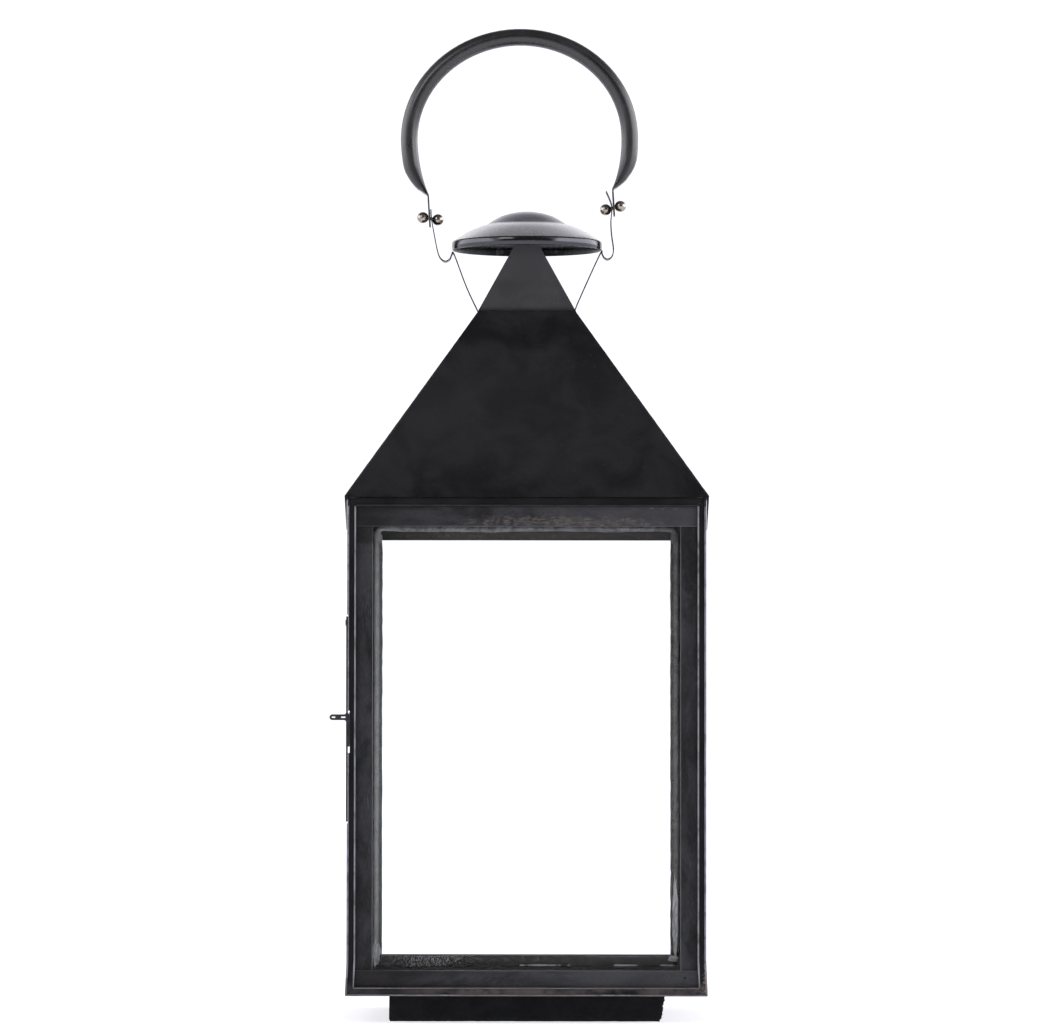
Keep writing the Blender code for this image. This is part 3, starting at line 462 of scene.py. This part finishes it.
def spring_steel():
    """Straps, latch and hinges: thin blackened steel, browner and rubbed bright in places."""
    graph = start_material("spring_steel", metallic=0.6, specular=0.4)
    base, clouds, mottle = patina(graph, grey(0.018), grey(0.050), 9 * MM, 0.6 * MM)
    brown = graph.step(graph.noise(6 * MM, 4.0, 0.6, shift=3.0), 0.55, 0.70)
    base = graph.mix(graph.times(brown, 0.5), base, (0.060, 0.046, 0.036))
    rubbed = graph.step(graph.noise(2.5 * MM, 4.0, 0.7, shift=9.0), 0.66, 0.74)
    base = graph.mix(graph.times(rubbed, 0.5), base, grey(0.22))
    finish_with(graph, Base_Color=base, Roughness=graph.math("ADD", graph.times(clouds, 0.15), 0.34),
                Normal=graph.bump(mottle, 0.02 * MM, 0.5))
    return graph.material


def dark_nickel():
    """The ball rivets: polished dark nickel with cloudy tarnish."""
    graph = start_material("dark_nickel", metallic=1.0)
    base, clouds, mottle = patina(graph, (0.22, 0.19, 0.165), (0.46, 0.42, 0.37), 3 * MM, 0.4 * MM)
    finish_with(graph, Base_Color=base, Roughness=graph.math("ADD", graph.times(clouds, 0.10), 0.16),
                Normal=graph.bump(mottle, 0.01 * MM, 0.4))
    return graph.material


# ---------------------------------------------------------------- glass, putty and foam


def clear_glass():
    """Thin clear panes, a little hazy in places; a low index keeps the white floor from veiling them."""
    graph = start_material("clear_glass", roughness=0.0)
    haze = graph.step(graph.noise(40 * MM, 4.0, 0.6), 0.5, 0.9, 0.0, 0.02)
    finish_with(
        graph,
        Base_Color=(0.985, 0.995, 0.99, 1.0),
        Transmission_Weight=1.0,
        IOR=1.17,
        Roughness=haze,
    )
    return graph.material


def glazing_putty():
    """Grey silicone smeared round each pane: shiny and mottled, black with dirt and scuffed at the foot,
    with thin pale streaks painted there as highlights.
    """
    graph = start_material("glazing_putty", specular=0.5)
    base, clouds, mottle = patina(graph, grey(0.09, 0.0), grey(0.30, 0.03), 5 * MM, 1.1 * MM)
    dirt = graph.step(graph.noise(3 * MM, 4.0, 0.6, shift=6.0), 0.55, 0.72)
    base = graph.mix(graph.times(dirt, 0.7), base, (0.045, 0.036, 0.028))
    base = graph.mix(graph.step(graph.x, 70 * MM, 80 * MM, 0.0, 0.50), base, (0.045, 0.039, 0.034))
    base = graph.mix(graph.step(graph.x, -80 * MM, -70 * MM, 0.45, 0.0), base, grey(0.42, 0.0))
    low = graph.step(graph.z, BODY_LOW + 15.5 * MM, BODY_LOW + 19 * MM, 1.0, 0.0)
    opening_low, opening_top = opening_of("back")
    squeezed = graph.times(
        graph.step(graph.absolute(graph.x), OPENING_HALF + 0.4 * MM, OPENING_HALF + 1.8 * MM, 1.0, 0.0),
        graph.step(graph.z, opening_low, opening_low + 3 * MM),
        graph.step(graph.z, opening_top - 3 * MM, opening_top, 1.0, 0.0),
    )
    dirty = graph.either(low, graph.times(squeezed, 0.9))
    rust = graph.step(graph.noise(2.6 * MM, 5.0, 0.75, shift=3.0), 0.48, 0.70)
    base = graph.mix(dirty, base, graph.mix(rust, (0.024, 0.022, 0.022), (0.130, 0.106, 0.090)))
    # Thin pale streaks along the foot: painted highlights.
    for x, reach in ((9 * MM, 18 * MM), (58 * MM, 9 * MM), (82 * MM, 6 * MM)):
        place = (x, OPENING_HALF, BODY_LOW + 8.7 * MM)
        highlight_streak = graph.spot(place, (reach, 16 * MM, 0.7 * MM), 0.35)
        base = graph.mix(graph.times(highlight_streak, 0.9), base, grey(0.48))
    place = (-57 * MM, OPENING_HALF, BODY_LOW + 11 * MM)
    scuff = graph.spot(place, (20 * MM, 16 * MM, 7 * MM), 0.9, 1.1 * MM)
    speckle = graph.step(graph.noise(0.7 * MM, 3.0, 0.7, (1, 1, 3)), 0.45, 0.57)
    base = graph.mix(graph.times(scuff, speckle, low, 0.8), base, grey(0.32, 0.0))
    finish_with(graph, Base_Color=base, Roughness=graph.math("ADD", graph.times(clouds, 0.15), 0.28),
                Specular_IOR_Level=graph.math("SUBTRACT", 0.5, graph.times(low, 0.4)),
                Normal=graph.bump(mottle, 0.10 * MM, 0.7))
    return graph.material


def pale_silicone():
    """Fresher silicone, where it was smeared over the old bead."""
    graph = start_material("pale_silicone", specular=0.5)
    base, clouds, mottle = patina(graph, grey(0.22, 0.02), grey(0.70, 0.04), 2.6 * MM, 0.6 * MM, (1, 1, 4))
    finish_with(graph, Base_Color=base, Roughness=graph.math("ADD", graph.times(clouds, 0.2), 0.22),
                Normal=graph.bump(mottle, 0.15 * MM, 0.8))
    return graph.material


def black_foam():
    """Matte black foam with open cells, about 0.7 mm across."""
    graph = start_material("black_foam", roughness=0.95, specular=0.12)
    base, clouds, mottle = patina(graph, grey(0.009), grey(0.015), 9 * MM, 0.7 * MM)
    voronoi = graph.add("ShaderNodeTexVoronoi", {"Vector": graph.place, "Scale": 1400.0})
    cells = voronoi.outputs["Distance"]
    uneven = graph.bump(mottle, 0.10 * MM, 0.5)
    finish_with(graph, Base_Color=base, Normal=graph.bump(cells, 0.12 * MM, 0.8, uneven))
    return graph.material


# ---------------------------------------------------------------- which finish goes where


def wear(material, *nodes):
    """Gives CAD nodes a material by way of their objects' slots."""
    for name in nodes:
        obj = NODES[name]
        for slot in obj.material_slots:
            slot.link = "OBJECT"
            slot.material = material


def matching(*parts):
    """The CAD nodes whose name holds every given part."""
    return [name for name in NODES if all(part in name for part in parts)]


def dress_cad():
    """Finishes for every CAD node that stays in sight, and the seams on the roof."""
    wear(folded_iron(), *matching("post_"), *matching("_rail_"))
    upright = strip_iron("stile_iron", grey(0.008), grey(0.040), 2, 4.0, STILE_DEPTH, upright_edge_highlight,
                         darkened_top)
    along_and_marks = {
        "front": (0, front_marks),
        "right": (1, side_marks),
        "back": (0, back_marks),
        "door": (1, side_marks),
    }
    for shift, (face, (along, marks)) in enumerate(along_and_marks.items()):
        edge = level_edge_highlight(*opening_of(face))
        level = strip_iron(f"strip_iron_{face}", grey(0.010), grey(0.043), along, shift, LEVEL_DEPTH,
                           edge, marks)
        wear(level, f"{face}_strip_bottom", f"{face}_strip_top")
        wear(upright, f"{face}_strip_left", f"{face}_strip_right")
    roof = roof_iron()
    wear(roof, *matching("roof_"))
    wear(chimney_iron(), "chimney")
    wear(floor_iron(), "floor_plate")
    wear(spring_steel(), *matching("hinge_"), "latch_spacer")
    wear(clear_glass(), *matching("_glass"))
    roof_seams(roof)


# ---------------------------------------------------------------- pieces made here


def add_piece(name, bm, material, body):
    """Turns a bmesh into a piece that rides on a CAD body."""
    bmesh.ops.recalc_face_normals(bm, faces=bm.faces)
    mesh = bpy.data.meshes.new(name)
    bm.to_mesh(mesh)
    bm.free()
    for face in mesh.polygons:
        face.use_smooth = True
        face.material_index = 0
    mesh.materials.append(material)
    obj = bpy.data.objects.new(name, mesh)
    bpy.context.scene.collection.objects.link(obj)
    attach(obj, body)
    return obj


def smooth_skin(node, material, crease=38):
    """A welded and smoothly shaded skin over a turned, swept or bent CAD node, which it stands for.

    Its folds sharper than crease, in degrees, stay sharp.
    """
    bm = bmesh.new()
    bm.from_mesh(NODES[node].data)
    bmesh.ops.remove_doubles(bm, verts=bm.verts, dist=0.002 * MM)
    skin = add_piece(f"{node}_skin", bm, material, body_of(node))
    if "custom_normal" in skin.data.attributes:
        skin.data.attributes.remove(skin.data.attributes["custom_normal"])
    skin.data.set_sharp_from_angle(angle=math.radians(crease))
    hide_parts(node)


def skin_round_parts():
    """Skins for the parts whose facets would show: turned, swept and bent ones."""
    steel = spring_steel()
    nickel = dark_nickel()
    smooth_skin("cap", cap_iron(), 60)
    smooth_skin("handle", handle_iron())
    for name in (*matching("strap_"), "latch_spring", "latch_rivet"):
        smooth_skin(name, steel)
    for name in matching("pivot_rivet_"):
        smooth_skin(name, nickel)


def join_rings(bm, rings, closed=False):
    """Walls between each ring of points and the next."""
    pairs = list(zip(rings, rings[1:]))
    if closed:
        pairs.append((rings[-1], rings[0]))
    for near, far in pairs:
        for k in range(len(near)):
            after = (k + 1) % len(near)
            bm.faces.new((near[k], near[after], far[after], far[k]))


def rectangle_path(half, low, top, corner, step):
    """Points round an upright rectangle with round corners, each with its outward direction."""
    corner_steps = 6
    path = []
    corners = ((half, top, 0), (-half, top, 90), (-half, low, 180), (half, low, 270))
    for k, (x, z, start) in enumerate(corners):
        centre = Vector((x - math.copysign(corner, x), 0, z + (corner if z == low else -corner)))
        for turn in range(corner_steps + 1):
            angle = math.radians(start + 90 / corner_steps * turn)
            outward = Vector((math.cos(angle), 0, math.sin(angle)))
            path.append((centre + outward * corner, outward))
        after_x, after_z, after_start = corners[(k + 1) % 4]
        angle = math.radians(after_start)
        outward = Vector((math.cos(angle), 0, math.sin(angle)))
        after = Vector((after_x - math.copysign(corner, after_x), 0,
                        after_z + (corner if after_z == low else -corner))) + outward * corner
        run = after - path[-1][0]
        count = max(1, int(run.length / step))
        path += [(path[-1][0] + run * (share / count), outward) for share in range(1, count)]
    return path


def putty_bead(face, material):
    """A hand-smeared bead of silicone round the inside of a pane: wide and thin along the bottom."""
    pane_low, pane_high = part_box(f"{face}_glass")
    inner_face = {"front": -pane_high.y, "right": pane_low.x, "back": pane_low.y, "door": -pane_high.x}[face]
    depth = inner_face - 0.15 * MM  # just clear of the pane
    strip_face = LEVEL_DEPTH - 0.6 * MM  # where the bead's foot lands beyond the pane
    low, top = opening_of(face)
    past_side, past_low, past_top = 4.3 * MM, 7.4 * MM, 8.2 * MM
    corner, spacing = 5.5 * MM, 3.5 * MM
    path = rectangle_path(OPENING_HALF + past_side, low - past_low, top + past_top, corner, spacing)
    squeezed = 2.0 if face == "back" else 0.0  # extra width, in mm, pressed past the uprights
    arc_steps = 8
    seed = 10.0 * list(FACES).index(face)
    spin = Matrix.Rotation(math.radians(FACES[face]), 3, "Z")
    bm = bmesh.new()
    rings = []
    for point, outward in path:
        wander = noise.noise(Vector((point.x * 30 + seed, 0, point.z * 30)))
        ripple = noise.noise(Vector((point.x * 160 + seed, 5, point.z * 160)))
        width = 3.2 + 0.9 * wander + 0.35 * ripple + 3.6 * max(0.0, -outward.z)
        width += squeezed * (1 - 0.45 * wander) * abs(outward.x) ** 3
        height = (1.35 + 0.25 * ripple - 0.2 * wander) * MM
        ring = []
        for k in range(arc_steps + 1):
            angle = math.pi * k / arc_steps
            at = point - outward * width * MM / 2 * (1 - math.cos(angle))
            past_pane = not pane_low.z < at.z < pane_high.z
            foot = strip_face if past_pane and k == 0 else depth
            ring.append(spin @ Vector((at.x, height * math.sin(angle) ** 0.7 - foot, at.z)))
        rings.append([bm.verts.new(spot) for spot in ring])
    join_rings(bm, rings, closed=True)
    bead = add_piece(f"putty_{face}", bm, material, body_of(f"{face}_glass"))
    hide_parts(f"{face}_glazing_bead")


def putty_smear(name, centre, half, material):
    """A thin ragged smear of silicone on the inside of the back window."""
    seed = centre * 400
    bm = bmesh.new()
    bmesh.ops.create_icosphere(bm, subdivisions=4, radius=1.0)
    for vert in bm.verts:
        rough = noise.noise(vert.co * 2.3 + seed)
        fine = noise.noise(vert.co * 7.0 + seed)
        scale = 1 + 0.5 * rough + 0.2 * fine
        vert.co = centre + Vector((vert.co.x * half[0], vert.co.y * half[1], vert.co.z * half[2])) * scale
    add_piece(name, bm, material, "frame")


def smear_back_window(material):
    """Three smears low down on the back window, each at (x, z) with its half size along X, Y and Z."""
    face = low_of("back_glass").y - 1.7 * MM
    smears = {
        "smear_left": ((-87.8 * MM, 31 * MM), (2.3 * MM, 0.7 * MM, 6.5 * MM)),
        "smear_corner": ((86.0 * MM, 28 * MM), (2.6 * MM, 0.6 * MM, 1.6 * MM)),
        "smear_right": ((87.2 * MM, 50 * MM), (1.5 * MM, 0.6 * MM, 21 * MM)),
    }
    for name, ((x, z), half) in smears.items():
        putty_smear(name, Vector((x, face, z)), half, material)


def roof_seams(material):
    """A thin rough bead of solder along each of the roof's four hips."""
    steps = 90
    sides = 8
    inset = 0.35 * MM
    foot = Vector((EAVE_HALF - inset, -EAVE_HALF + inset, BODY_TOP + 0.4 * MM))
    head = Vector((ROOF_TOP_HALF - inset, -ROOF_TOP_HALF + inset, ROOF_TOP - 0.4 * MM))
    run = (head - foot).normalized()
    level = run.cross(Vector((0, 0, 1))).normalized()
    across = run.cross(level)
    for face, turn in FACES.items():
        spin = Matrix.Rotation(math.radians(turn), 3, "Z")
        bm = bmesh.new()
        rings = []
        for k in range(steps + 1):
            centre = foot.lerp(head, k / steps)
            ripple = noise.noise(Vector((k * 0.31, turn, 0)))
            radius = (0.48 + 0.12 * ripple) * MM
            angles = [2 * math.pi * step / sides for step in range(sides)]
            ring = [centre + (level * math.cos(a) + across * math.sin(a)) * radius for a in angles]
            rings.append([bm.verts.new(spin @ spot) for spot in ring])
        join_rings(bm, rings)
        bm.faces.new(rings[0])
        bm.faces.new(rings[-1])
        add_piece(f"roof_seam_{face}", bm, material, "frame")


def foam_pad(material):
    """The black foam block underneath: its right edge is torn and leans in, its lower edge is ragged."""
    low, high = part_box("base_pad")
    half = high.x
    per_side = 56
    levels = 20
    lean = 2.6 * MM  # of the torn edge, at its foot
    corners = [(-half, -half), (half, -half), (half, half), (-half, half)]
    outline = []
    for (x0, y0), (x1, y1) in zip(corners, corners[1:] + corners[:1]):
        for k in range(per_side):
            outline.append((x0 + (x1 - x0) * k / per_side, y0 + (y1 - y0) * k / per_side))
    bm = bmesh.new()
    rings = []
    for level in range(levels):
        rise = level / (levels - 1)
        z = low.z + (high.z - low.z) * rise
        ring = []
        for x, y in outline:
            rough = noise.noise(Vector((x * 420, y * 420, z * 420)))
            broad = noise.noise(Vector((x * 90 + 7, y * 90, z * 90)))
            torn = noise.noise(Vector((3, y * 25, z * 520)))
            inward = (0.2 + 0.3 * abs(rough) + 0.3 * abs(broad)) * MM
            if x > half - 0.1 * MM:
                inward += (1 - rise) ** 1.6 * lean + (2.4 * abs(torn) + 0.6 * abs(rough) - 1.2) * MM
            inward += max(0.0, 0.10 - rise) * 5.0 * MM
            lift = 0.3 * MM * abs(rough) if level == 0 else 0.0
            inward_y = min(inward, 0.8 * MM)
            ring.append(bm.verts.new((x * (1 - inward / half), y * (1 - inward_y / half), z + lift)))
        rings.append(ring)
    join_rings(bm, rings)
    bm.faces.new(rings[0])
    bm.faces.new(rings[-1])
    pad = add_piece("foam_pad", bm, material, "frame")
    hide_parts("base_pad")


# ---------------------------------------------------------------- studio


def make_floor():
    """A pale floor that glows a little, so that it runs into the white background."""
    bm = bmesh.new()
    bmesh.ops.create_circle(bm, cap_ends=True, segments=96, radius=30.0)
    mesh = bpy.data.meshes.new("floor")
    bm.to_mesh(mesh)
    bm.free()
    graph = start_material("pale_floor", roughness=0.7, specular=0.2)
    tone = graph.step(graph.noise(0.6, 3.0), 0.3, 0.7)
    finish_with(graph, Base_Color=graph.mix(tone, grey(0.86), grey(0.88)),
                Emission_Color=(1.0, 1.0, 1.0, 1.0), Emission_Strength=0.62)
    mesh.materials.append(graph.material)
    floor = bpy.data.objects.new("floor", mesh)
    bpy.context.scene.collection.objects.link(floor)


def make_world():
    """A white studio: the object sees bright sides and back, a dark ceiling and a dim front."""
    world = bpy.data.worlds.new("studio")
    bpy.context.scene.world = world
    graph = Graph(world, "Generated")
    level = graph.step(graph.z, 0.30, 0.88, 1.0, 0.16)
    sides = graph.step(graph.y, -0.80, -0.70, 0.10, 1.0)
    upright = graph.step(graph.z, 0.45, 0.62, 1.0, 0.0)
    right_box = graph.step(graph.x, 0.66, 0.74, 0.0, 3.1)
    left_box = graph.step(graph.x, -0.84, -0.76, 2.3, 0.0)
    boxes = graph.times(graph.math("ADD", right_box, left_box), upright)
    studio = graph.math("ADD", graph.times(level, sides), boxes)
    path = graph.add("ShaderNodeLightPath", {})
    seen = graph.either(path.outputs["Is Camera Ray"], path.outputs["Is Transmission Ray"])
    shaded = graph.math("SUBTRACT", 1.0, seen)
    strength = graph.math("ADD", graph.times(studio, shaded), graph.times(seen, 1.10))
    background = graph.tree.nodes["Background"]
    background.inputs["Color"].default_value = (1.0, 0.995, 1.05, 1.0)
    graph.tree.links.new(strength, background.inputs["Strength"])
    bpy.context.scene.view_settings.view_transform = "Standard"


def add_soft_box(name, place, target, size, power):
    """A rectangular light at a place, turned to a target."""
    light = bpy.data.lights.new(name, "AREA")
    light.shape = "RECTANGLE"
    light.size, light.size_y = size
    light.energy = power
    obj = bpy.data.objects.new(name, light)
    obj.location = place
    obj.rotation_euler = (Vector(target) - Vector(place)).to_track_quat("-Z", "Y").to_euler()
    obj.visible_camera = False
    bpy.context.scene.collection.objects.link(obj)


def make_camera():
    """The photograph's view: level with the window's upper half, from 3.3 m, tilted slightly up."""
    camera = bpy.data.cameras.new("camera")
    camera.sensor_width = 36.0
    camera.lens = 200.4
    obj = bpy.data.objects.new("camera", camera)
    obj.location = (-0.0031, -3.304, 0.1686)
    tilt = math.radians(2.02)
    roll = math.radians(-0.06)
    obj.rotation_euler = (math.radians(90) + tilt, roll, 0.0)
    bpy.context.scene.collection.objects.link(obj)
    bpy.context.scene.camera = obj


# ---------------------------------------------------------------- all together


def main():
    """Dresses the model, adds its extra pieces and sets up the studio."""
    dress_cad()
    skin_round_parts()
    smear_back_window(pale_silicone())
    putty = glazing_putty()
    for face in FACES:
        putty_bead(face, putty)
    foam_pad(black_foam())
    make_floor()
    make_world()
    add_soft_box("key", (-1.6, -2.4, 1.9), (0, 0, 0.3), (1.2, 1.2), 14.0)
    make_camera()


main()
